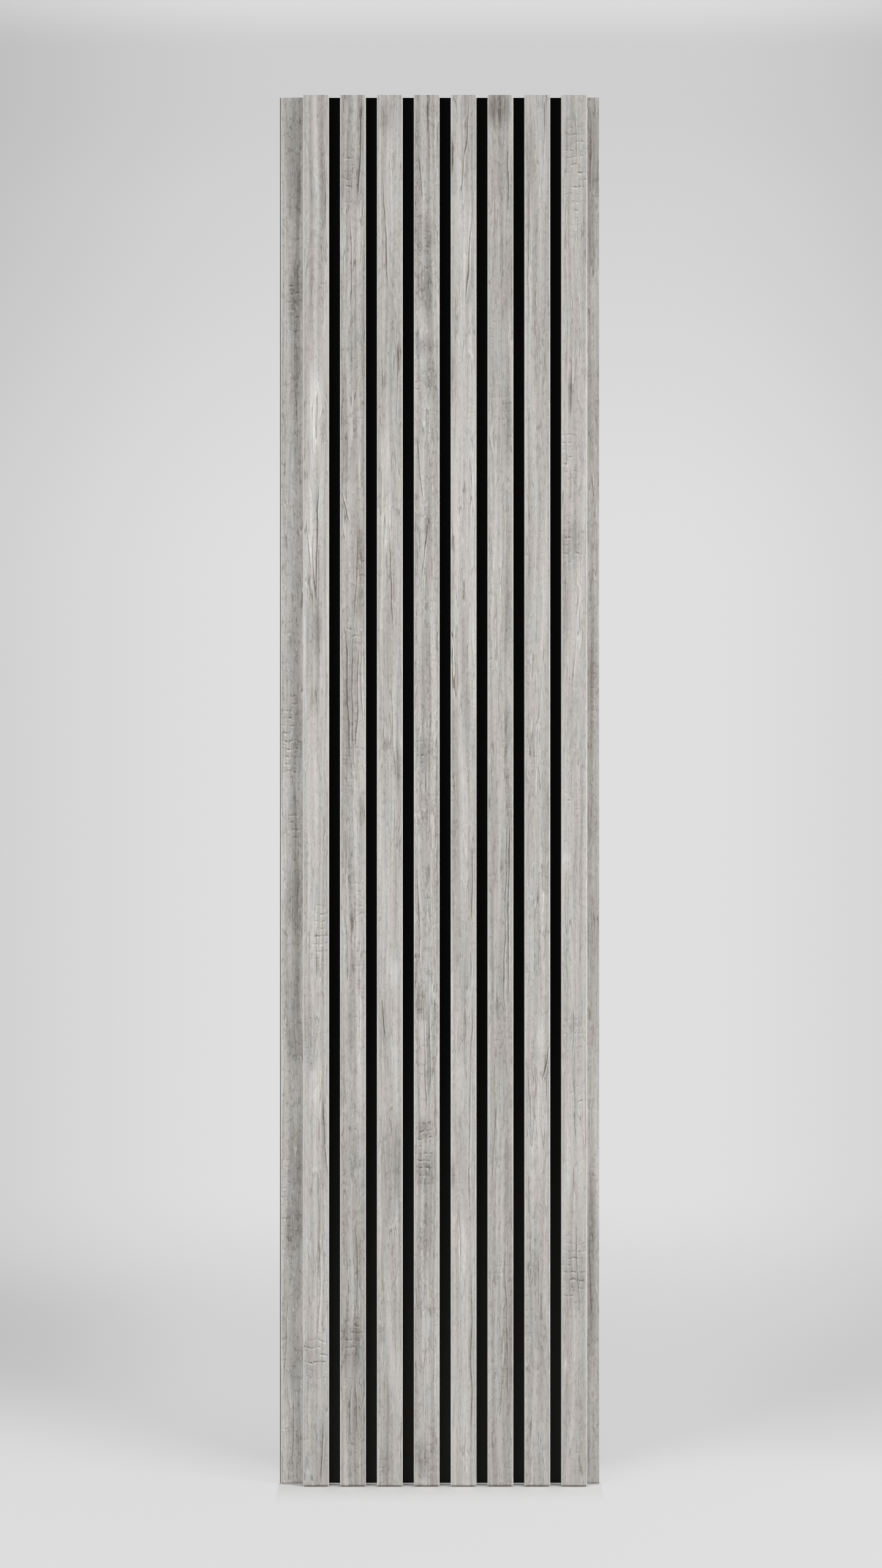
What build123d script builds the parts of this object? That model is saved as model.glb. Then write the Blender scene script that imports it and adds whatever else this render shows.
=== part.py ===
"""A tall wall panel: a row of oak-faced slats and two faced margins on one black board.

X runs across the panel from its left side to its right, Y runs back into the
wall, and Z runs up the wall. The origin is the middle of the bottom edge of the
back face, so the whole panel lies in front of it, on the -Y side.
"""

import os

from build123d import *

# Sizes of the whole panel, in millimetres.
panel_height = 2600
board_thickness = 6

# The row of slats. All of them have one section and run the full height.
slat_count = 8
slat_width = 48
slat_thickness = 16
slat_arris = 1
groove_width = 21

# The flat margins outside the first and the last slat, each faced with a thin strip.
left_margin = 44.5
right_margin = 24.5
facing_thickness = 1

# The left facing stops short of the panel's edge and leaves a line of bare board.
left_reveal = 1.5

# Widths that follow from the row.
slat_pitch = slat_width + groove_width
slat_row_width = slat_count * slat_width + (slat_count - 1) * groove_width
panel_width = left_margin + slat_row_width + right_margin

# Places across the panel, measured from its middle.
panel_left = -panel_width / 2
panel_right = panel_width / 2
row_left = panel_left + left_margin
row_right = row_left + slat_row_width

# Places through the panel, measured forwards from its back face.
back_face_y = 0
board_face_y = back_face_y - board_thickness
margin_face_y = board_face_y - facing_thickness
slat_face_y = board_face_y - slat_thickness

os.makedirs("parts", exist_ok=True)


# The board carries every other piece. Its front shows as the floor of the grooves.
with BuildPart() as backing_board:
    with BuildSketch(Plane.XY):
        with Locations((panel_left, board_face_y)):
            Rectangle(panel_width, board_thickness, align=(Align.MIN, Align.MIN))
    extrude(amount=panel_height)

backing_board.part.label = "backing_board"
export_step(backing_board.part, "parts/backing_board.step")


# The margins are faced with thin strips, glued flat on the board beside the outer slats.
facings = {
    "edge_strip_left": (panel_left + left_reveal, row_left),
    "edge_strip_right": (row_right, panel_right),
}

for strip_name, (strip_left, strip_right) in facings.items():
    with BuildPart() as edge_strip:
        with BuildSketch(Plane.XY):
            with Locations((strip_left, margin_face_y)):
                Rectangle(
                    strip_right - strip_left,
                    facing_thickness,
                    align=(Align.MIN, Align.MIN),
                )
        extrude(amount=panel_height)

    edge_strip.part.label = strip_name
    export_step(edge_strip.part, f"parts/{strip_name}.step")


# A slat is a solid bar, glued flat on the board, with its two long front edges rounded.
for slat_number in range(1, slat_count + 1):
    slat_left = row_left + (slat_number - 1) * slat_pitch

    with BuildPart() as slat:
        with BuildSketch(Plane.XY) as slat_section:
            with Locations((slat_left, slat_face_y)):
                Rectangle(slat_width, slat_thickness, align=(Align.MIN, Align.MIN))
            front_corners = slat_section.vertices().group_by(Axis.Y)[0]
            fillet(front_corners, radius=slat_arris)
        extrude(amount=panel_height)

    slat.part.label = f"slat_{slat_number}"
    export_step(slat.part, f"parts/slat_{slat_number}.step")
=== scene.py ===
# %% [markdown]
# # A slatted wall panel in greyed oak
# The panel is a black board that carries eight oak-faced slats and two flat oak-faced
# margins. Its solids come from the CAD frame at their real size, in metres, and they
# are the right shape already, so this lesson gives them their surfaces: the printed
# oak decor, the raw fibreboard on the cut ends and the black of the board. Then it
# builds the studio round the panel: a floor, a backdrop, two tall lamps and a camera.

# %% Load the CAD frame
import math

import bpy
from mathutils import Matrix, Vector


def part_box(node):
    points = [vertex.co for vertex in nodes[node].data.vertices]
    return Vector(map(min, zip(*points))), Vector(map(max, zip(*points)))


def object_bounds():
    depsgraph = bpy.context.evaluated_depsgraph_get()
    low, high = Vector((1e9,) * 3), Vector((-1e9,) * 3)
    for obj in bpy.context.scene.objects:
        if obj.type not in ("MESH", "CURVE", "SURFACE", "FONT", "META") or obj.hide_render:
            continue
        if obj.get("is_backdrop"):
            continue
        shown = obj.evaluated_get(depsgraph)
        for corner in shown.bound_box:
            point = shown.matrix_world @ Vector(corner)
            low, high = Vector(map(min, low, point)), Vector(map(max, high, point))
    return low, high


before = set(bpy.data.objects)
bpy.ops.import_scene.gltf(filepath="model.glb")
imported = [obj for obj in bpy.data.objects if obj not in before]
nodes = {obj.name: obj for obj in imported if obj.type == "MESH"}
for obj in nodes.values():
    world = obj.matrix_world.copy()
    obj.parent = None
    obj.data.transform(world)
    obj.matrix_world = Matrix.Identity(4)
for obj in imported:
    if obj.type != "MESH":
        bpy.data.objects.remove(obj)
cad_low, cad_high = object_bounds()
print("CAD nodes:", ", ".join(sorted(nodes)))

# %% [markdown]
# Every finish below needs a few places on the panel: where the board's front is, how
# wide and tall the panel is, and the middle of each piece. They are read from the
# frame, so they follow the CAD if a size changes there. The finishes are easier to
# think about in millimetres, so those places are turned into millimetres here.

# %% Read the places that the finishes need
MM = 1000.0

board_low, board_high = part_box("backing_board")
panel_width = board_high[0] - board_low[0]
panel_height = board_high[2] - board_low[2]
board_face = board_low[1]
slat_names = sorted(name for name in nodes if name.startswith("slat_"))
slat_face = cad_low[1]
print(f"panel {panel_width:.3f} m wide and {panel_height:.3f} m tall, {len(slat_names)} slats")

# %% [markdown]
# The photograph was taken straight on, with the camera level and about half way up
# the panel. A level camera keeps all the upright edges parallel, which is why such
# pictures are taken this way. The distance is known from the slats: they stand 15 mm
# proud of the margins and look 0.4 % larger for it, so the camera is 3.9 m away.
# The sensor's long side is the picture's height, and the lens follows from how much
# of that height the panel fills.

# %% Place the camera
image_width, image_height = 1440, 2559
panel_middle_px = 718.0
panel_foot_px = 2420.2
panel_height_px = 2260.6
sensor_height = 36.0
camera_distance = 3.916
farthest_seen = 100.0
quarter_turn = math.radians(90)

metres_per_px = panel_height / panel_height_px
view_height = image_height * metres_per_px
eye_height = (panel_foot_px - image_height / 2) * metres_per_px

camera_data = bpy.data.cameras.new("camera")
camera_data.sensor_width = sensor_height
camera_data.lens = sensor_height * camera_distance / view_height
camera_data.clip_end = farthest_seen
camera = bpy.data.objects.new("camera", camera_data)
camera.location = (
    (image_width / 2 - panel_middle_px) * metres_per_px,
    board_face - camera_distance,
    eye_height,
)
camera.rotation_euler = (quarter_turn, 0, 0)
bpy.context.scene.collection.objects.link(camera)
bpy.context.scene.camera = camera
bpy.context.scene.view_settings.view_transform = "Standard"
print(f"lens {camera_data.lens:.1f} mm at {eye_height:.3f} m above the panel's foot")

# %% [markdown]
# Shader maths is easier to read as a formula than as a chain of nodes. `Field` wraps
# one output socket of a node and stands for a value that changes over the surface.
# Adding or multiplying fields adds the Math nodes behind the scenes. `Finish` holds
# one material, or the world, and has a single method for every other kind of node.

# %% A small language for shader maths
noise_middle = 0.5
octave_fade = 0.5
object_place_output = 3
surface_normal_output = 1
mixed_colour_output = 2
vector_length_output = 1
up_axis = 2


class Field:
    """A number, colour or vector that changes over a surface."""

    def __init__(self, finish, socket):
        self.finish = finish
        self.socket = socket

    def math(self, operation, first, second=0.0):
        numbers = {"Value": first, "Value_001": second}
        return self.finish.node("Math", {"operation": operation}, numbers)

    def __add__(self, other):
        return self.math("ADD", self, other)

    def __sub__(self, other):
        return self.math("SUBTRACT", self, other)

    def __rsub__(self, other):
        return self.math("SUBTRACT", other, self)

    def __mul__(self, other):
        return self.math("MULTIPLY", self, other)

    def __truediv__(self, other):
        return self.math("DIVIDE", self, other)

    def __abs__(self):
        return self.math("ABSOLUTE", self)

    def __pow__(self, power):
        return self.math("POWER", self, power)

    __radd__ = __add__
    __rmul__ = __mul__

    def fraction(self):
        return self.math("FRACT", self)

    def floor(self):
        return self.math("FLOOR", self)

    def sign(self):
        return self.math("SIGN", self)

    def at_least(self, limit):
        return self.math("MAXIMUM", self, limit)

    def at_most(self, limit):
        return self.math("MINIMUM", self, limit)

    def rise(self, low, high):
        """0 below low, 1 above high, and a smooth step between them."""
        numbers = {"Value": self, "From Min": low, "From Max": high}
        return self.finish.node("MapRange", {"interpolation_type": "SMOOTHSTEP"}, numbers)

    def fall(self, low, high):
        """1 below low, 0 above high, and a smooth step between them."""
        return 1.0 - self.rise(low, high)


class Finish:
    """One material, or the world, and the one method that adds its nodes."""

    def __init__(self, name, kind="materials"):
        self.material = getattr(bpy.data, kind).new(name)
        self.material.use_nodes = True
        self.tree = self.material.node_tree
        self.tree.nodes.clear()

    def node(self, kind, settings=None, inputs=None, output=0):
        """Adds a node: first its settings, then the values or links of its sockets."""
        made = self.tree.nodes.new("ShaderNode" + kind)
        for key, setting in (settings or {}).items():
            if key == "stops":
                while len(made.color_ramp.elements) < len(setting):
                    made.color_ramp.elements.new(1.0)
                for element, (position, colour) in zip(made.color_ramp.elements, setting):
                    element.position = position
                    element.color = (*colour, 1.0)
            else:
                setattr(made, key, setting)
        sockets = {socket.identifier: socket for socket in made.inputs}
        for key, value in (inputs or {}).items():
            if isinstance(value, Field):
                self.tree.links.new(value.socket, sockets[key])
            else:
                sockets[key].default_value = value
        return Field(self, made.outputs[output]) if made.outputs else None

    def where(self):
        """The place on the piece in metres, as one vector."""
        return self.node("TexCoord", output=object_place_output)

    def place(self):
        """The place on the piece in millimetres: across, into the wall, and up."""
        sizes = {"Vector": self.where(), "Scale": MM}
        scaled = self.node("VectorMath", {"operation": "SCALE"}, sizes)
        return [self.node("SeparateXYZ", None, {"Vector": scaled}, axis) for axis in range(3)]

    def upward(self):
        """How far the surface faces up, from -1 to 1."""
        normal = self.node("NewGeometry", output=surface_normal_output)
        return self.node("SeparateXYZ", None, {"Vector": normal}, output=up_axis)

    def blotches(self, across, along, width, length, seed, detail=0.0):
        """Soft random tone, about -0.5 to 0.5, in patches of one width and length."""
        parts = {"X": across / width, "Y": along / length, "Z": seed}
        vector = self.node("CombineXYZ", None, parts)
        sizes = {"Vector": vector, "Scale": 1.0, "Detail": detail, "Roughness": octave_fade}
        return self.node("TexNoise", None, sizes) - noise_middle

    def speckle(self, scale, detail=2.0):
        """Fine random tone, 0 to 1, that looks the same in every direction."""
        sizes = {"Vector": self.where(), "Scale": scale, "Detail": detail}
        return self.node("TexNoise", None, sizes)

    def mix(self, share, first, second):
        """A colour that goes from first to second as share goes from 0 to 1."""
        colours = {"Factor_Float": share, "A_Color": first, "B_Color": second}
        return self.node("Mix", {"data_type": "RGBA"}, colours, output=mixed_colour_output)

    def bump(self, height, depth):
        """Turns a height between 0 and 1 into relief that is so many metres deep."""
        return self.node("Bump", None, {"Height": height, "Distance": depth})

    def surface(self, colour, roughness, relief, gloss):
        """Ends the material with one Principled shader."""
        inputs = {
            "Base Color": colour,
            "Roughness": roughness,
            "Normal": relief,
            "Specular IOR Level": gloss,
        }
        shader = self.node("BsdfPrincipled", None, inputs)
        self.node("OutputMaterial", None, {"Surface": shader})
        return self.material


def weighted(fields, shares, start):
    """The start value plus each named field times its share."""
    total = start
    for field_name, share in shares.items():
        total = fields[field_name] * share + total
    return total


# %% [markdown]
# A screen doesn't show light in equal steps: its levels follow a curve, straight near
# black and a power above that. A shader works with the light itself, so `paint` takes
# a colour by its screen levels and undoes the curve.

# %% Name colours by their screen levels
screen_white = 255
straight_end = 0.04045
straight_slope = 12.92
curve_offset = 0.055
curve_power = 2.4


def paint(red, green, blue):
    """A colour as seen on screen, 0 to 255, turned into the light values a shader uses."""
    parts = []
    for value in (red, green, blue):
        level = value / screen_white
        if level <= straight_end:
            parts.append(level / straight_slope)
        else:
            parts.append(((level + curve_offset) / (1.0 + curve_offset)) ** curve_power)
    return tuple(parts)


def opaque(colour):
    """The same colour with the fourth number that a socket asks for."""
    return (*colour, 1.0)


middle_level = 128
middle_grey = paint(middle_level, middle_level, middle_level)
print(f"level {middle_level} of {screen_white} on screen is {middle_grey[0]:.3f} in light")

# %% [markdown]
# The slats and margins are wrapped in a printed oak decor, so the pattern is flat and
# runs on round the long edges. `unrolled` gives the place on that flat sheet: across
# the front it is the distance from the piece's middle, and round the corner it keeps
# growing down the side.

# %% Lay the decor sheet round a piece
def unrolled(finish, low, high):
    """The place on the decor sheet of one piece, across and along, in millimetres."""
    x, y, z = finish.place()
    from_middle = x - (low[0] + high[0]) / 2 * MM
    down_the_side = (y - low[1] * MM).at_least(0.0)
    return from_middle + from_middle.sign() * down_the_side, z


print(f"the sheet is {panel_height * MM:.0f} mm long")

# %% [markdown]
# Much of the decor is soft random tone, stretched along the grain. Each layer of it
# has a width and a length in millimetres, its own place in the random field, so that
# no two layers look alike, and a number of finer octaves. Only the wear of the saw
# marks is laid out by the number of the mark instead of by its height. A layer is often
# turned into a share, 0 where its tone is low and 1 where it is high. The first table
# lists the layers and the second the limits of the shares.

# %% The layers of soft random tone
layers = {
    "slow_bend": (45.0, 280.0, 0.0, 1.0),
    "quick_bend": (12.0, 70.0, 0.7, 1.0),
    "ring_drift": (1.0, 700.0, 1.3, 0.0),
    "ring_wobble": (9.0, 120.0, 2.9, 1.0),
    "pore_ticks": (1.6, 13.0, 8.3, 0.0),
    "pore_patches": (9.0, 80.0, 9.9, 0.0),
    "rung_bend": (16.0, 60.0, 11.5, 1.0),
    "rung_wear": (13.0, 0.37, 12.7, 0.0),
    "rung_breaks": (5.0, 9.0, 13.9, 0.0),
    "broad": (12.0, 460.0, 20.1, 1.0),
    "bands": (5.0, 380.0, 21.9, 1.0),
    "streaks": (1.8, 120.0, 22.3, 0.0),
    "ring_patches": (26.0, 220.0, 24.3, 0.0),
    "rung_patches": (30.0, 130.0, 25.9, 0.0),
    "seam_wear": (9.0, 90.0, 26.3, 0.0),
    "warmth": (16.0, 130.0, 27.1, 1.0),
    "yellowing": (14.0, 90.0, 28.3, 1.0),
}
share_limits = {
    "pore_ticks": (0.14, 0.25),
    "pore_patches": (-0.08, 0.12),
    "rung_wear": (-0.12, 0.05),
    "rung_breaks": (-0.18, 0.12),
    "ring_patches": (-0.05, 0.2),
    "rung_patches": (0.05, 0.3),
    "seam_wear": (-0.1, 0.1),
    "warmth": (-0.15, 0.15),
    "yellowing": (-0.05, 0.25),
}


def layer(finish, layer_name, across, along, seed):
    """One layer of soft random tone, about -0.5 to 0.5."""
    width, length, offset, detail = layers[layer_name]
    return finish.blotches(across, along, width, length, seed + offset, detail)


def layer_share(finish, layer_name, across, along, seed):
    """One layer as a share from 0 to 1."""
    return layer(finish, layer_name, across, along, seed).rise(*share_limits[layer_name])


print(len(layers), "layers,", len(share_limits), "of them used as shares")

# %% [markdown]
# Oak that was sawn along the log shows its growth rings as long streaks and, near the
# log's heart, as pointed flames. Both come from one formula: the distance from a point
# on the face to the heart, which lies some way behind the face and drifts as it runs
# up the board. Where that distance passes a whole number of rings there is a line.

# %% Draw growth rings
ring_width = 4.6
ring_wobble_reach = 4.0
heart_depth = 30.0
heart_drift = 120.0
heart_aside = 14.0
heart_turn = 3.7
late_wood_starts = 0.3
late_wood_ends = 0.92


def growth_rings(finish, fibre, along, seed):
    """Dark late wood, 0 to 1, with sharp outer and soft inner edges."""
    drift = layer(finish, "ring_drift", 0.0, along, seed)
    wobble = layer(finish, "ring_wobble", fibre, along, seed)
    behind = heart_depth + drift * heart_drift
    aside = fibre - heart_aside * math.sin(seed * heart_turn)
    radius = (aside * aside + behind * behind) ** 0.5
    ring = ((radius + wobble * ring_wobble_reach) / ring_width).fraction()
    return ring.rise(late_wood_starts, late_wood_ends) * ring.fall(late_wood_ends, 1.0)


print("rings about", ring_width, "mm apart")

# %% [markdown]
# The decor is embossed like brushed old wood, so it is full of short wavy lines, each
# dark with a pale lip beside it. The dark is partly print and partly painted shade of
# the groove, and the pale lip is a painted highlight. A soft random tone is cut at one
# level, as a map's height is cut by a contour line, and that line is the groove. A second
# cut just beside it is the lip. Lines of three sizes are drawn this way, and all come in
# patches: long coarse ones, fine ones, and short curls like those of old, weathered wood.
# Each size has the width and length of its tone in millimetres, the thickness of its
# lines as a step of that tone, and its place in the random field.

# %% Draw embossed lines and pores
line_sizes = {
    "coarse": (8.0, 110.0, 0.035, 0.0),
    "fine": (4.5, 26.0, 0.06, 50.0),
    "curls": (6.0, 15.0, 0.1, 70.0),
}
line_offset, line_detail = 5.1, 1.5
line_patch_offset, line_patch_detail = 6.7, 1.0
line_patch_width = 1.6
line_patch_limits = (-0.06, 0.1)
lip_offset = 1.6
lip_highlight_share = 0.7


def contour(field, level, thickness):
    """1 on the line where the field passes a level, and 0 away from it."""
    return abs(field - level).fall(0.0, thickness)


def embossed(finish, size_name, fibre, along, seed):
    """Wavy lines: below 0 in the grooves, print and painted shade; above 0 on the lips, painted
    highlight.
    """
    width, length, thickness, offset = line_sizes[size_name]
    line_seed = seed + offset + line_offset
    patch_seed = seed + offset + line_patch_offset
    patch_width = width * line_patch_width
    height = finish.blotches(fibre, along, width, length, line_seed, line_detail)
    patch = finish.blotches(fibre, along, patch_width, length, patch_seed, line_patch_detail)
    groove = contour(height, 0.0, thickness)
    lip = contour(height, thickness * lip_offset, thickness)
    return (lip * lip_highlight_share - groove) * patch.rise(*line_patch_limits)


def pores(finish, fibre, along, seed):
    """Short dark ticks along the grain."""
    ticks = layer_share(finish, "pore_ticks", fibre, along, seed)
    return ticks * layer_share(finish, "pore_patches", fibre, along, seed)


print("embossed lines:", ", ".join(line_sizes))

# %% [markdown]
# The saw has left short rungs across the grain, 13 to 15 mm apart, in a few places on
# each board. A rung is a line at a whole number of pitches up the board, bent a little
# by a soft tone. A random number for each rung says how much of it the wear has left,
# and a finer tone breaks it into ragged pieces.

# %% Draw saw marks
rung_pitch = 14.0
rung_bend_reach = 13.0
rung_place, rung_thickness = 0.5, 0.16
rung_lip_place, rung_lip_thickness, rung_lip_highlight_share = 0.26, 0.2, 0.6


def saw_marks(finish, across, along, seed):
    """Tone of the rungs: below 0 on a rung and above 0 on its lower lip, a painted highlight."""
    bend = layer(finish, "rung_bend", across, along, seed)
    count = (along + bend * rung_bend_reach) / rung_pitch
    left = layer_share(finish, "rung_wear", across, count.floor(), seed)
    left = left * layer_share(finish, "rung_breaks", across, along, seed)
    lip = contour(count.fraction(), rung_lip_place, rung_lip_thickness)
    rung = contour(count.fraction(), rung_place, rung_thickness)
    return (lip * rung_lip_highlight_share - rung) * left


print("a rung every", rung_pitch, "mm where the saw marks show")

# %% [markdown]
# The decor of this panel has its own marks, and a good copy has them in the same
# places. They are listed by piece, in millimetres from the middle of the piece and
# from its foot. A patch is a soft spot that is darker or paler, with its half width
# and half height. A line has its middle, half its length, how far it leans to the
# right at its top, how far both its ends bow to the right, and its depth. Saw marks
# are patches where rungs show.

# %% The marks on each piece
patches = {
    "slat_1": [
        (-2, 2010, 14, 90, 0.14), (-13, 1770, 9, 90, 0.18), (4, 1600, 11, 45, -0.15),
        (12, 1700, 9, 90, -0.1), (-19, 1890, 6, 10, -0.2), (14, 2430, 6, 90, -0.1),
        (-12, 850, 10, 60, -0.08), (-2, 740, 12, 45, 0.16), (15, 660, 5, 80, -0.16),
        (-5, 240, 20, 50, -0.1), (12, 70, 6, 60, -0.14), (15, 2560, 5, 40, -0.1),
    ],
    "slat_2": [
        (16, 2540, 5, 60, -0.34), (11, 2440, 5, 50, -0.24), (-14, 2450, 9, 50, -0.04),
        (-18, 2330, 5, 80, 0.16), (5, 2340, 14, 80, 0.14), (2, 2010, 18, 70, 0.08),
        (-12, 1850, 9, 40, 0.1), (13, 1740, 8, 60, -0.26), (12, 1650, 9, 40, -0.22),
        (-10, 1770, 6, 30, 0.12), (0, 1460, 20, 150, -0.08), (16, 1260, 7, 40, -0.18),
        (3, 1050, 12, 60, 0.06), (-5, 850, 8, 50, -0.08), (11, 435, 9, 40, -0.1),
        (-12, 360, 8, 40, 0.08), (-2, 255, 24, 65, -0.16), (0, 130, 20, 60, -0.12),
        (0, 2080, 20, 170, -0.04),
    ],
    "slat_3": [
        (-7, 2560, 12, 40, -0.18), (17, 2110, 5, 30, -0.34), (-12, 2065, 5, 18, -0.15),
        (-10, 1930, 7, 60, 0.16), (-4, 1800, 14, 50, 0.14), (-8, 1385, 6, 15, -0.22),
        (14, 1340, 8, 50, -0.2), (5, 960, 12, 30, 0.16), (-12, 870, 5, 40, -0.2),
        (-5, 720, 9, 70, 0.08), (14, 620, 8, 80, -0.2), (-16, 280, 6, 20, -0.12),
        (10, 210, 10, 60, 0.1), (-8, 40, 10, 40, -0.1),
    ],
    "slat_4": [
        (-3, 2330, 17, 45, -0.16), (-3, 2240, 16, 45, -0.2), (-4, 2130, 18, 20, -0.18),
        (4, 2070, 18, 35, -0.14), (-18, 2190, 5, 40, 0.1), (2, 1790, 6, 30, -0.16),
        (-3, 1530, 14, 90, -0.1), (-3, 1370, 18, 35, -0.14), (3, 1145, 4, 18, -0.24),
        (-12, 905, 10, 35, -0.24), (0, 790, 12, 80, -0.1), (-5, 665, 16, 25, -0.18),
        (-4, 590, 17, 40, -0.18), (0, 470, 14, 70, -0.1), (-9, 55, 12, 35, -0.2),
        (10, 940, 10, 35, 0.1),
    ],
    "slat_5": [
        (-22, 2490, 4, 40, -0.45), (-18, 2440, 6, 40, -0.1), (4, 2330, 10, 90, 0.16),
        (11, 2255, 6, 50, -0.14), (-22, 2090, 4, 45, -0.24), (-19, 1560, 7, 100, 0.18),
        (-20, 1770, 5, 40, 0.14), (0, 1800, 14, 250, 0.06), (15, 1130, 5, 70, -0.14),
        (-12, 985, 4, 15, -0.14), (-5, 740, 10, 70, 0.12), (-21, 580, 4, 35, -0.32),
        (-2, 440, 9, 60, 0.18), (15, 250, 5, 150, -0.16),
    ],
    "slat_6": [
        (-7, 2575, 20, 35, -0.26), (13, 2570, 6, 40, -0.1), (15, 2440, 7, 70, -0.16),
        (15, 2270, 8, 90, -0.1), (14, 2000, 9, 90, -0.16), (14, 1630, 8, 90, -0.16),
        (13, 1420, 8, 50, -0.14), (15, 1100, 8, 160, -0.05), (15, 800, 8, 120, -0.06),
        (14, 560, 9, 100, -0.12), (15, 280, 8, 180, -0.14), (-12, 1900, 8, 250, 0.06),
        (-8, 500, 14, 400, -0.02),
    ],
    "slat_7": [
        (-13, 2480, 8, 90, -0.14), (12, 2470, 6, 60, 0.1), (21, 1280, 4, 40, -0.14),
        (10, 1090, 8, 30, 0.1), (8, 840, 9, 30, 0.14), (18, 790, 4, 30, -0.1),
        (0, 640, 16, 120, 0.05), (-4, 420, 8, 40, -0.08), (0, 1600, 16, 200, 0.03),
        (0, 250, 18, 150, -0.03),
    ],
    "slat_8": [
        (-4, 2530, 18, 40, -0.06), (-7, 2040, 5, 40, -0.2), (0, 1770, 20, 40, -0.12),
        (5, 1640, 12, 90, 0.1), (-8, 1550, 12, 60, 0.1), (-14, 1170, 6, 20, 0.14),
        (-5, 860, 5, 25, -0.14), (-2, 400, 18, 70, -0.12), (-15, 225, 6, 15, 0.16),
        (3, 620, 18, 100, 0.08), (0, 1060, 14, 120, 0.05),
    ],
    "edge_strip_left": [
        (6, 2520, 20, 90, -0.17), (6, 2420, 16, 60, -0.12), (6, 2230, 14, 70, -0.22),
        (9, 2090, 10, 80, -0.22), (10, 1950, 8, 80, -0.1), (0, 1720, 18, 120, 0.05),
        (1, 1400, 18, 90, -0.12), (4, 1240, 16, 60, -0.17), (6, 1090, 15, 80, -0.23),
        (4, 930, 15, 60, -0.18), (5, 840, 15, 50, -0.18), (7, 600, 14, 80, -0.22),
        (5, 480, 16, 60, -0.26), (9, 370, 8, 50, -0.2), (4, 230, 14, 70, -0.11),
        # The pale patch at 21 mm, along the whole inner edge, is painted light that lifts slat_1's
        # shadow on this margin.
        (4, 60, 14, 70, -0.1), (21, 1300, 5, 1600, 0.12), (2, 2350, 14, 250, -0.05),
        (1, 900, 14, 350, -0.05),
    ],
    "edge_strip_right": [
        (-3, 2480, 9, 100, -0.15), (-4, 2330, 8, 60, -0.08), (-4, 2010, 8, 110, -0.12),
        (-1, 1520, 11, 70, -0.13), (-1, 1400, 10, 50, -0.06), (0, 1250, 10, 50, -0.1),
        (-4, 1040, 8, 50, -0.08), (-2, 500, 9, 90, -0.14), (-3, 330, 9, 130, -0.14),
        (2, 2240, 8, 50, 0.06), (0, 790, 8, 40, 0.06),
    ],
}
lines = {
    "slat_1": [
        (1, 1770, 125, 4, 3, 0.5), (-5, 1720, 70, -3, 3, 0.35), (16, 650, 80, -4, 3, 0.35),
        (8, 370, 110, 3, -8, 0.2), (11, 60, 60, 3, 0, 0.4), (-12, 1000, 45, 0, 0, 0.2),
        (1, 1000, 50, 0, 0, 0.3), (13, 1010, 60, 0, 0, 0.2), (17, 2430, 90, -1, 0, 0.2),
    ],
    "slat_2": [
        (-14, 1830, 30, -6, 0, 0.45), (-10, 1470, 130, -4, 2, 0.4), (-1, 1460, 140, -2, 3, 0.3),
        (9, 1480, 120, 3, -2, 0.35), (16, 1500, 110, -2, 2, 0.25), (13, 2490, 95, 5, 0, 0.4),
        (-3, 2290, 90, -1, -2, 0.35), (-11, 1000, 60, -2, 0, 0.2), (9, 400, 100, 1, -8, 0.2),
        (8, 1700, 90, 3, -4, 0.3), (-6, 140, 60, 2, 2, 0.25), (6, 150, 60, -2, 0, 0.25),
    ],
    "slat_3": [
        (-8, 2340, 110, -5, 0, 0.4), (2, 1700, 110, -5, 0, 0.35), (-12, 875, 40, -4, 0, 0.4),
        (8, 1245, 50, 1, 0, 0.25), (14, 2040, 60, 3, 0, 0.3), (6, 1400, 100, -5, 3, 0.25),
        (-8, 600, 60, -3, 0, 0.15), (-15, 2080, 40, -2, 0, 0.2),
    ],
    "slat_4": [
        (-11, 2445, 50, -4, 0, 0.35), (-13, 1900, 65, -6, 0, 0.45), (-4, 1745, 55, 7, 0, 0.45),
        (-6, 190, 80, 2, 4, 0.3), (2, 2560, 35, 0, 0, 0.4), (-4, 800, 110, -4, 0, 0.35),
        (6, 820, 90, -2, 0, 0.25), (-15, 1060, 120, -4, 0, 0.25),
    ],
    "slat_5": [
        (3, 2490, 110, 11, -4, 0.35), (10, 2290, 85, 5, -2, 0.45), (14, 1870, 50, 1, -2, 0.35),
        (16, 1130, 80, 1, -2, 0.3), (12, 700, 230, 3, 2, 0.3), (14, 250, 170, 1, 2, 0.3),
        (14, 975, 25, 0, 0, 0.3),
    ],
    "slat_6": [
        (9, 1080, 190, 3, 0, 0.3), (15, 1080, 190, 2, 0, 0.3), (-12, 640, 80, 5, 0, 0.25),
        (14, 2440, 70, 1, 0, 0.3), (12, 300, 160, -3, -2, 0.25), (-2, 1500, 90, 2, 0, 0.15),
    ],
    "slat_7": [
        (13, 2520, 90, 1, 0, 0.2), (2, 1420, 140, 8, 0, 0.15), (16, 790, 40, 7, 0, 0.45),
        (3, 380, 60, 1, -2, 0.2), (-14, 720, 60, -3, 0, 0.25), (-17, 2300, 150, 1, 2, 0.2),
    ],
    "slat_8": [
        (3, 1590, 110, 7, 0, 0.25), (3, 2520, 60, -2, 0, 0.25), (-1, 850, 50, 0, -3, 0.3),
        (6, 400, 100, -4, 0, 0.25), (-6, 2050, 60, 1, 0, 0.3),
    ],
    "edge_strip_left": [
        (-12, 270, 90, 5, 0, 0.25), (2, 110, 90, 2, 0, 0.25), (8, 2000, 70, -4, 0, 0.25),
    ],
    "edge_strip_right": [
        (0, 1870, 25, -2, 0, 0.45), (-5, 2500, 90, 0, 1, 0.25), (-5, 400, 90, -2, 0, 0.2),
    ],
}
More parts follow.
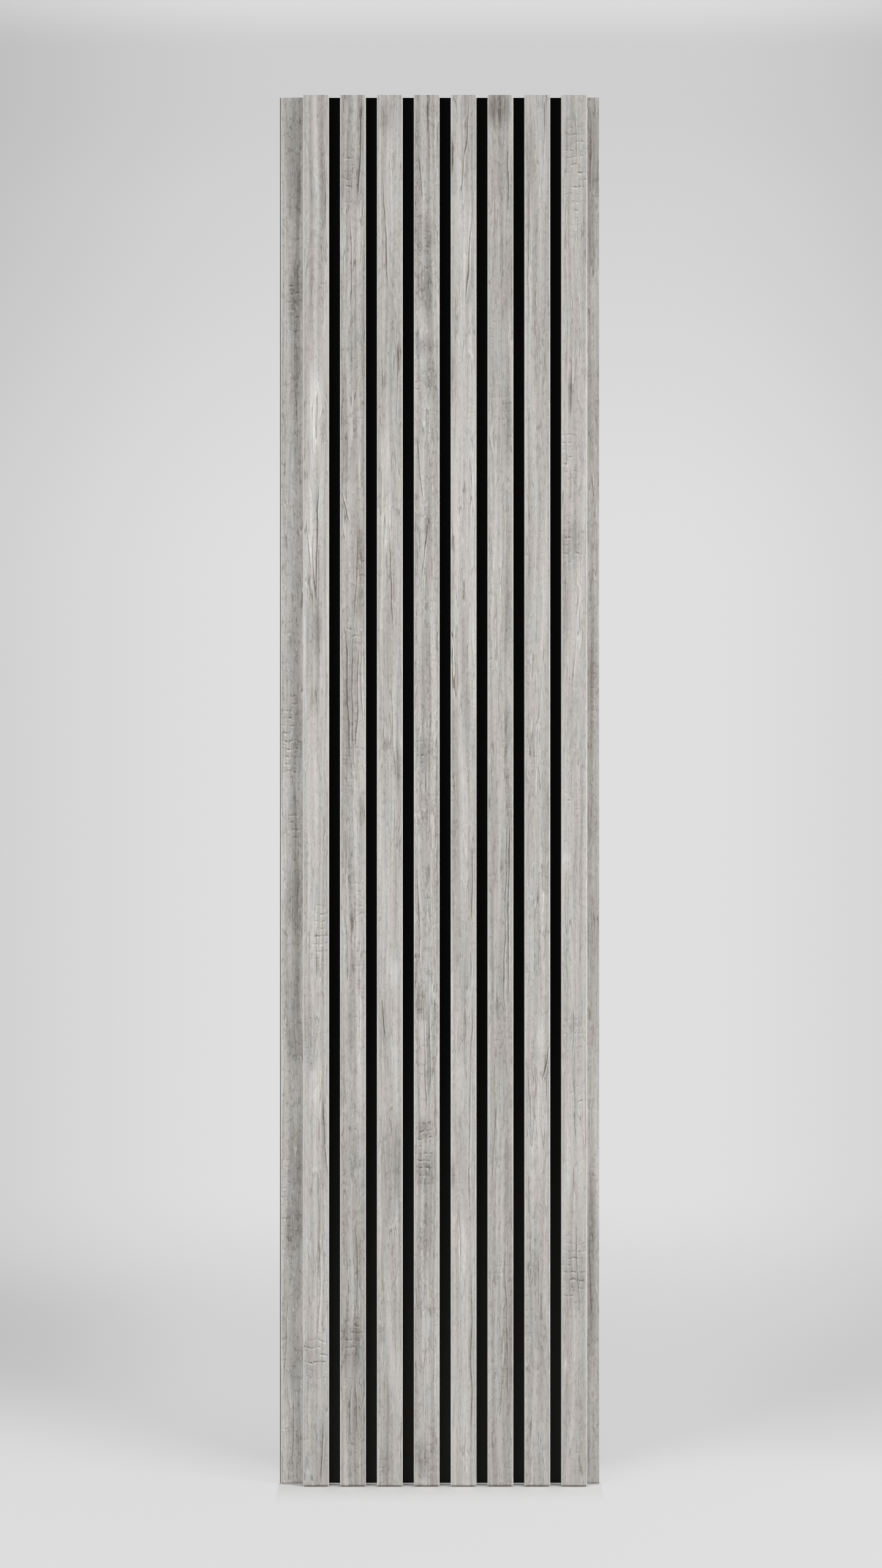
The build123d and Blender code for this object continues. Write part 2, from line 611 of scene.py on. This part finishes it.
saw_patches = {
    "slat_1": [
        (12, 1040, 14, 60, 1.1), (0, 240, 26, 50, 1.3),
    ],
    "slat_2": [
        (-8, 2460, 10, 55, 1), (12, 1720, 12, 60, 0.6), (0, 1590, 20, 25, 0.9),
        (12, 1090, 12, 40, 0.8), (0, 280, 24, 50, 0.9),
    ],
    "slat_4": [
        (-5, 2330, 14, 50, 0.6), (-14, 2070, 10, 35, 1.1), (-2, 1370, 18, 30, 1),
        (-13, 900, 8, 30, 0.9), (-4, 630, 18, 70, 1.2),
    ],
    "slat_6": [
        (0, 400, 22, 50, 0.3),
    ],
    "slat_8": [
        (0, 2450, 22, 100, 0.9), (-12, 1940, 12, 50, 1), (0, 1765, 24, 45, 1),
        (0, 1275, 22, 30, 0.5), (0, 840, 20, 35, 0.9), (4, 730, 18, 30, 0.9), (0, 400, 24, 80, 0.9),
    ],
    "edge_strip_left": [
        (-2, 1400, 18, 90, 1.3), (2, 1240, 14, 50, 0.8), (4, 2220, 14, 90, 0.8),
        (-14, 540, 12, 100, 0.7), (-10, 80, 16, 60, 0.5),
    ],
    "edge_strip_right": [
        (0, 1500, 10, 70, 0.5),
    ],
}
print(sum(map(len, patches.values())), "patches,", sum(map(len, lines.values())), "lines")

# %% [markdown]
# Two helpers draw one mark each. `spot` measures how far a point is from the middle of
# the patch, in half widths and half heights, and fades out a little past 1.
# `drawn_line` compares a point with the line's place at the same height. Both are
# given places that a soft tone has already bent, so a spot gets a ragged outline and
# a line gets a wobble.

# %% Draw one mark
spot_full_to = 0.3
spot_gone_at = 1.4
drawn_line_width = 1.6
drawn_lip_offset = 2.3
drawn_lip_highlight_share = 0.5
drawn_line_full_to = 0.6


def spot(finish, sheet, middle, height, half_width, half_height, share):
    """The share in the middle of a soft spot, and 0 outside it."""
    centre = {"Vector": sheet, "Vector_001": (middle, height, 0.0)}
    away = finish.node("VectorMath", {"operation": "SUBTRACT"}, centre)
    sizes = {"Vector": away, "Vector_001": (half_width, half_height, 1.0)}
    away = finish.node("VectorMath", {"operation": "DIVIDE"}, sizes)
    length_of = {"operation": "LENGTH"}
    away = finish.node("VectorMath", length_of, {"Vector": away}, output=vector_length_output)
    limits = {"From Min": spot_full_to, "From Max": spot_gone_at, "To Min": share, "To Max": 0.0}
    return finish.node("MapRange", {"interpolation_type": "SMOOTHSTEP"}, {"Value": away, **limits})


def drawn_line(across, along, middle, height, half_length, lean, bow, depth):
    """Tone of one line: below 0 in its groove, print and painted shade; above 0 on its lip, painted
    highlight.
    """
    upwards = (along - height) / half_length
    aside = across - middle - upwards * lean - upwards * upwards * bow
    lip = contour(aside, drawn_lip_offset, drawn_line_width)
    groove = contour(aside, 0.0, drawn_line_width)
    inside = abs(upwards).fall(drawn_line_full_to, 1.0)
    return (lip * drawn_lip_highlight_share - groove) * inside * depth


print("a drawn line is", drawn_line_width, "mm wide")

# %% [markdown]
# All of it comes together in one tone from dark to pale. The tables below say how much
# each kind of mark adds to the tone, to the relief and to the roughness, and how much
# the grain shows through a patch. Pieces differ too: `lifts` makes one paler or darker,
# `calm` takes contrast from its grain, and `curly` adds to its curls.

# %% The shares of the decor
base_tone = 0.565
grain_shares = {"broad": 0.55, "bands": 0.3, "band_edges": 0.05}
tone_shares = {
    "streaks": 0.07, "seams": -0.1, "rings": -0.08, "coarse": 0.19, "fine": 0.1,
    "curls": 0.08, "rungs": 0.34, "pores": -0.13, "foot_shade": -0.4,
}
patch_shares = {"bands": 0.8, "streaks": 1.4, "coarse": 1.6}

base_height = 0.6
relief_depth = 0.00018
height_shares = {
    "streaks": 0.3, "coarse": 0.3, "fine": 0.3, "curls": 0.3, "pores": -0.4, "rungs": 0.3,
}
base_roughness = 0.52
roughness_shares = {"coarse": -0.1, "streaks": -0.1, "cut_end": 0.3}
decor_gloss = 0.35

lifts = {
    "slat_1": -0.055, "slat_2": -0.105, "slat_3": -0.075, "slat_4": -0.09, "slat_5": -0.055,
    "slat_6": -0.125, "slat_7": -0.075, "slat_8": -0.075, "edge_strip_left": -0.015,
    "edge_strip_right": -0.12,
}
curly = {"edge_strip_left": 2.2, "slat_4": 1.8, "slat_2": 1.4, "edge_strip_right": 1.3}
calm = {"slat_6": 0.8, "slat_7": 0.75, "slat_8": 0.8, "edge_strip_right": 0.75}
print("base tone", base_tone, "and", len(tone_shares) + len(grain_shares), "shares of it")

# %% [markdown]
# A colour ramp turns the tone into greyed oak. Its hue drifts between cool, warm and
# yellow, as the real sheet's does. The long edges of a slat are paler: a painted highlight
# where the long edge catches the side light. The cut ends show the raw board, and a
# painted shade darkens the decor along the foot, where the panel stands on the floor.

# %% Mix the greyed oak decor
dark_oak = paint(103, 97, 91)
grey_oak = paint(180, 177, 174)
pale_oak = paint(224, 222, 220)
edge_highlight_oak = opaque(paint(216, 213, 208))
raw_board = opaque(paint(172, 146, 116))
raw_board_dark = opaque(paint(120, 96, 72))
cool_tint = (0.98, 1.0, 0.995, 1.0)
warm_tint = (1.018, 0.988, 0.985, 1.0)
yellow_tint = (1.0, 0.995, 0.95, 1.0)
oak_stops = [(0.0, dark_oak), (0.5, grey_oak), (1.0, pale_oak)]

fibre_slow_reach = 14.0
fibre_quick_reach = 2.5
mark_bend_reach = 7.0
band_edge_limits = (-0.03, 0.05)
seam_level, seam_thickness = 0.02, 0.025
# The painted shade along the foot is full up to 0.3 mm above the foot and gone by 2.8 mm.
foot_shade_limits = (0.3, 2.8)
scattered_rungs = 0.35
edge_highlight_limits = (0.6, 1.9)
edge_highlight_share = 0.8
cut_end_limits = (0.6, 0.9)
grit_scale = 900.0
seed_step = 41.7


def grain_and_marks(finish, name, across, along, seed):
    """The grain and marks as named fields, then the patches, the lines and the fibre."""
    slow_bend = layer(finish, "slow_bend", across, along, seed)
    quick_bend = layer(finish, "quick_bend", across, along, seed)
    fibre = across + slow_bend * fibre_slow_reach + quick_bend * fibre_quick_reach
    bent = across + quick_bend * mark_bend_reach
    sheet = finish.node("CombineXYZ", None, {"X": bent, "Y": along})

    patchy = 0.0
    for patch in patches[name]:
        patchy = spot(finish, sheet, *patch) + patchy
    marked = layer_share(finish, "rung_patches", across, along, seed) * scattered_rungs
    for patch in saw_patches.get(name, []):
        marked = marked + spot(finish, sheet, *patch)
    drawn = 0.0
    for line in lines[name]:
        drawn = drawn_line(bent, along, *line) + drawn

    bands = layer(finish, "bands", fibre, along, seed)
    worn = layer_share(finish, "seam_wear", across, along, seed)
    ring_patches = layer_share(finish, "ring_patches", across, along, seed)
    fields = {
        "broad": layer(finish, "broad", fibre, along, seed),
        "bands": bands,
        "band_edges": bands.rise(*band_edge_limits),
        "seams": contour(bands, seam_level, seam_thickness) * worn,
        "streaks": layer(finish, "streaks", fibre, along, seed),
        "rings": growth_rings(finish, fibre, along, seed) * ring_patches,
        "coarse": embossed(finish, "coarse", fibre, along, seed),
        "fine": embossed(finish, "fine", fibre, along, seed),
        "curls": embossed(finish, "curls", fibre, along, seed) * curly.get(name, 1.0),
        "pores": pores(finish, fibre, along, seed),
        "rungs": saw_marks(finish, across, along, seed) * marked,
        # Painted shade along the foot, darkening the decor where the panel stands on the floor.
        "foot_shade": along.fall(*foot_shade_limits),
        "cut_end": abs(finish.upward()).rise(*cut_end_limits),
    }
    return fields, patchy, drawn, fibre


def oak_decor(name, low, high, seed):
    """The decor of one slat or margin."""
    finish = Finish("greyed_oak_" + name)
    across, along = unrolled(finish, low, high)
    fields, patchy, drawn, fibre = grain_and_marks(finish, name, across, along, seed)

    tone = weighted(fields, grain_shares, 0.0) * calm.get(name, 1.0)
    tone = weighted(fields, tone_shares, base_tone + lifts[name]) + tone
    tone = tone + patchy * weighted(fields, patch_shares, 1.0) + drawn
    oak = finish.node("ValToRGB", {"stops": oak_stops}, {"Fac": tone})

    warmth = layer_share(finish, "warmth", fibre, along, seed)
    yellowing = layer_share(finish, "yellowing", fibre, along, seed)
    tint = finish.mix(yellowing, finish.mix(warmth, cool_tint, warm_tint), yellow_tint)
    tinted = {"Vector": oak, "Vector_001": tint}
    oak = finish.node("VectorMath", {"operation": "MULTIPLY"}, tinted)

    # Painted highlight: both long edges of the piece are paler, where the edge catches the side
    # light.
    half_width = (high[0] - low[0]) / 2 * MM
    from_edge = abs(abs(across) - half_width)
    oak = finish.mix(from_edge.fall(*edge_highlight_limits) * edge_highlight_share, oak, edge_highlight_oak)
    core = finish.mix(finish.speckle(grit_scale), raw_board_dark, raw_board)
    colour = finish.mix(fields["cut_end"], oak, core)

    relief = finish.bump(weighted(fields, height_shares, base_height), relief_depth)
    roughness = weighted(fields, roughness_shares, base_roughness)
    return finish.surface(colour, roughness, relief, decor_gloss)


for number, name in enumerate([*slat_names, "edge_strip_left", "edge_strip_right"]):
    low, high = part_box(name)
    decor = oak_decor(name, low, high, seed_step * (number + 1))
    nodes[name].data.materials.clear()
    nodes[name].data.materials.append(decor)
print("decor on", ", ".join(lines))

# %% [markdown]
# The board is fibreboard dyed black all through. Its front, the floor of the grooves,
# is sealed, and toward the foot it is painted a little greyer: a painted reflection of
# the pale floor. Its back and its edges are bare, so they are dull and charcoal grey,
# with the fine mottle of pressed fibres.

# %% The black board
sealed_black = opaque(paint(10, 10, 10))
floor_reflection_black = opaque(paint(34, 34, 33))
bare_black = opaque(paint(44, 42, 40))
bare_fibre = opaque(paint(66, 63, 59))

fibre_scale, fibre_detail = 700.0, 3.0
mottle_scale = 14.0
fibre_share, mottle_share = 0.7, 0.3
bare_limits = (0.35, 0.7)
seal_depth, seal_blend = 0.5, 0.3
greyer_below = 1000.0
bare_roughness = 0.75
sealed_shine = 0.1
fibre_roughness = 0.2
fibre_relief = 0.0001
board_gloss = 0.03

board_finish = Finish("black_fibreboard")
into_wall, up = board_finish.place()[1:]
fibres = board_finish.speckle(fibre_scale, fibre_detail)
mottle = board_finish.speckle(mottle_scale)
seal_starts = -board_face * MM - seal_depth
sealed = (into_wall * -1.0).rise(seal_starts, seal_starts + seal_blend)
bareness = (fibres * fibre_share + mottle * mottle_share).rise(*bare_limits)
bare = board_finish.mix(bareness, bare_black, bare_fibre)
# Painted reflection: the sealed front is greyer toward the foot, as if it mirrored the pale floor.
front = board_finish.mix(up.rise(0.0, greyer_below), floor_reflection_black, sealed_black)
black = board_finish.mix(sealed, bare, front)
roughness = bare_roughness - sealed * sealed_shine + (fibres - noise_middle) * fibre_roughness
relief = board_finish.bump(fibres, fibre_relief)
nodes["backing_board"].data.materials.clear()
black_board = board_finish.surface(black, roughness, relief, board_gloss)
nodes["backing_board"].data.materials.append(black_board)
print("black board done")

# %% [markdown]
# The studio is a pale floor that runs back to a pale backdrop.

# %% Build the floor and the backdrop
floor_gap = 0.002
floor_size = 40.0
backdrop_distance = 9.0


def studio_plane(name, location, rotation):
    """One large plane of the studio, applied so that it is unturned at the origin."""
    bpy.ops.object.select_all(action="DESELECT")
    bpy.ops.mesh.primitive_plane_add(size=floor_size, location=location, rotation=rotation)
    plane = bpy.context.active_object
    plane.name = name
    bpy.ops.object.transform_apply(location=True, rotation=True)
    return plane


floor = studio_plane("studio_floor", (0, 0, -floor_gap), (0, 0, 0))
floor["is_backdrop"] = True
backdrop = studio_plane("studio_backdrop", (0, backdrop_distance, 0), (quarter_turn, 0, 0))
backdrop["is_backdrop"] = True
print("floor and backdrop", floor_size, "m wide")

# %% [markdown]
# Whoever looks at the studio sees a set grey, brightest in the middle and darker
# toward the sides and the top, as in the photograph. It is written as a number of
# screen levels below the brightest grey. The sides are worked out from a point's
# bearing from a fixed place in front of the panel, so the floor and the backdrop meet
# without a line. The light that the planes throw on the panel is that of a matt white
# surface, whatever grey they show.

# %% The grey that the studio shows
bright_grey = opaque(paint(223, 223, 223))
dark_grey = opaque(paint(163, 163, 164))
matt_white = opaque(paint(238, 238, 238))
darkest = 60.0
light_path_outputs = {"camera": 0, "glossy": 3, "transmission": 6}

brightest_bearing = 0.018
side_limits = (0.085, 0.36)
side_levels = 29.0


def bearing_of(x, y):
    """How far a point lies to the right, seen from the fixed place in front."""
    return x / (y + camera_distance * MM)


def side_shade(x, y):
    """How many levels darker the sides are."""
    return abs(bearing_of(x, y) - brightest_bearing).rise(*side_limits) * side_levels


def looked_at(finish):
    """1 where the camera, a reflection or clear glass sees the surface, and else 0."""
    seen = 0.0
    for output in light_path_outputs.values():
        seen = finish.node("LightPath", output=output) + seen
    return seen.at_most(1.0)


def seen_colour(finish, levels, matt_share):
    """A surface that shows the camera and reflections the bright grey less some levels."""
    grey = finish.mix((levels / darkest).at_most(1.0), bright_grey, dark_grey)
    seen = looked_at(finish) * (1.0 - matt_share)
    glow = finish.node("Emission", None, {"Color": grey})
    matt = finish.node("BsdfDiffuse", None, {"Color": matt_white})
    surface = {"Fac": seen, "Shader": matt, "Shader_001": glow}
    finish.node("OutputMaterial", None, {"Surface": finish.node("MixShader", None, surface)})
    return finish.material


print("the sides are up to", side_levels, "levels darker")

# %% [markdown]
# The backdrop has painted shade toward the top and painted light again at the very
# top. Heights on it are in millimetres above the floor.

# %% Colour the backdrop
top_steps = [((2500.0, 5300.0), 15.0), ((4800.0, 5600.0), 4.0), ((5850.0, 6250.0), -17.0)]

backdrop_finish = Finish("pale_backdrop")
x, y, z = backdrop_finish.place()
levels = side_shade(x, y)
for heights, step in top_steps:
    levels = z.rise(*heights) * step + levels
backdrop.data.materials.append(seen_colour(backdrop_finish, levels, matt_share=0.0))
print("backdrop done in", len(top_steps), "steps of shade")

# %% [markdown]
# The floor has painted shade: a wide band behind the panel, a painted soft shadow of
# the panel, and two painted pools of shade to its left and right. Near the panel a part
# of the floor is an ordinary matt surface, so it takes the panel's own shadow, and right
# under the front edge it is nearly all matt, so the panel stands on it. Places are in
# millimetres.

# %% Colour the floor
shadow_levels = 12.0
shadow_spread = 120.0
shadow_wedge = (0.25, 1.05)
shadow_start = (0.0, 60.0)
shadow_end = (700.0, 3000.0)
front_limits = (-100.0, 1500.0)

pool_bearings = (0.1, 0.2)
left_pool_levels, left_pool_start, left_pool_end = 9.0, (200.0, 800.0), (900.0, 2000.0)
right_pool_levels, right_pool_start, right_pool_end = 8.0, (30.0, 300.0), (500.0, 1400.0)

matt_limits = (500.0, 2500.0)
matt_near = 0.2
contact_ahead = (1.0, 90.0)
contact_beside = (1.0, 4.0)
contact_behind = (-6.0, 0.0)
contact_share = 0.8

floor_finish = Finish("pale_floor")
x, y = floor_finish.place()[:2]
bearing = bearing_of(x, y)
behind = y.at_least(0.0)
beside = (abs(x) - panel_width / 2 * MM).at_least(1.0)
ahead = (slat_face * MM - y).at_least(0.0)
away = (x * x + y * y) ** 0.5

levels = side_shade(x, y) * y.rise(*front_limits)
wedge = (behind / (beside + shadow_spread)).rise(*shadow_wedge)
shadow = wedge * behind.rise(*shadow_start) * behind.fall(*shadow_end)
left_pool = (bearing * -1.0).rise(*pool_bearings) * behind.rise(*left_pool_start)
right_pool = bearing.rise(*pool_bearings) * behind.rise(*right_pool_start)
levels = levels + shadow * shadow_levels
levels = levels + left_pool * behind.fall(*left_pool_end) * left_pool_levels
levels = levels + right_pool * behind.fall(*right_pool_end) * right_pool_levels

contact = ahead.fall(*contact_ahead) * beside.fall(*contact_beside) * y.fall(*contact_behind)
matt_share = away.fall(*matt_limits) * matt_near + contact * contact_share
floor.data.materials.append(seen_colour(floor_finish, levels, matt_share))
print("floor done")

# %% [markdown]
# Two tall lamps stand well out to the sides, in front of the panel. So each slat
# throws a short soft shadow on the margin beside it, hardly any light reaches the
# floor of the grooves, and the panel's own shadow spreads over the floor behind it.
# The rest is even light from all round. The air itself looks as pale as the backdrop
# wherever neither plane is behind the panel.

# %% Light the panel
lamp_height = 3.4
lamp_centre = 1.7
air_colour = (0.9, 0.9, 0.9, 1.0)
air_strength = 0.46


def softbox(name, angle, distance, width, watts):
    """A tall lamp at an angle off the panel's front, aimed at the panel."""
    data = bpy.data.lights.new(name, "AREA")
    data.shape = "RECTANGLE"
    data.size, data.size_y = width, lamp_height
    data.energy = watts
    lamp = bpy.data.objects.new(name, data)
    turn = math.radians(angle)
    lamp.location = (distance * math.sin(turn), -distance * math.cos(turn), lamp_centre)
    lamp.rotation_euler = (quarter_turn, 0, turn)
    bpy.context.scene.collection.objects.link(lamp)


softbox("right_softbox", angle=64.0, distance=3.0, width=1.25, watts=84.0)
softbox("left_softbox", angle=-47.0, distance=2.8, width=2.0, watts=41.0)

air = Finish("studio_air", "worlds")
light = air.node("Background", None, {"Color": air_colour, "Strength": air_strength})
pale = air.node("Background", None, {"Color": bright_grey, "Strength": 1.0})
sky = air.node("MixShader", None, {"Fac": looked_at(air), "Shader": light, "Shader_001": pale})
air.node("OutputWorld", None, {"Surface": sky})
bpy.context.scene.world = air.material
print("lamps and world set")

# %% [markdown]
# Last, the size of the dressed panel is written down. It is the same as the size of
# the CAD solids, because the panel's pieces keep their solids.

# %% Write the size and finish
low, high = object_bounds()
print("visual box", [round(value, 4) for value in (*low, *high)])
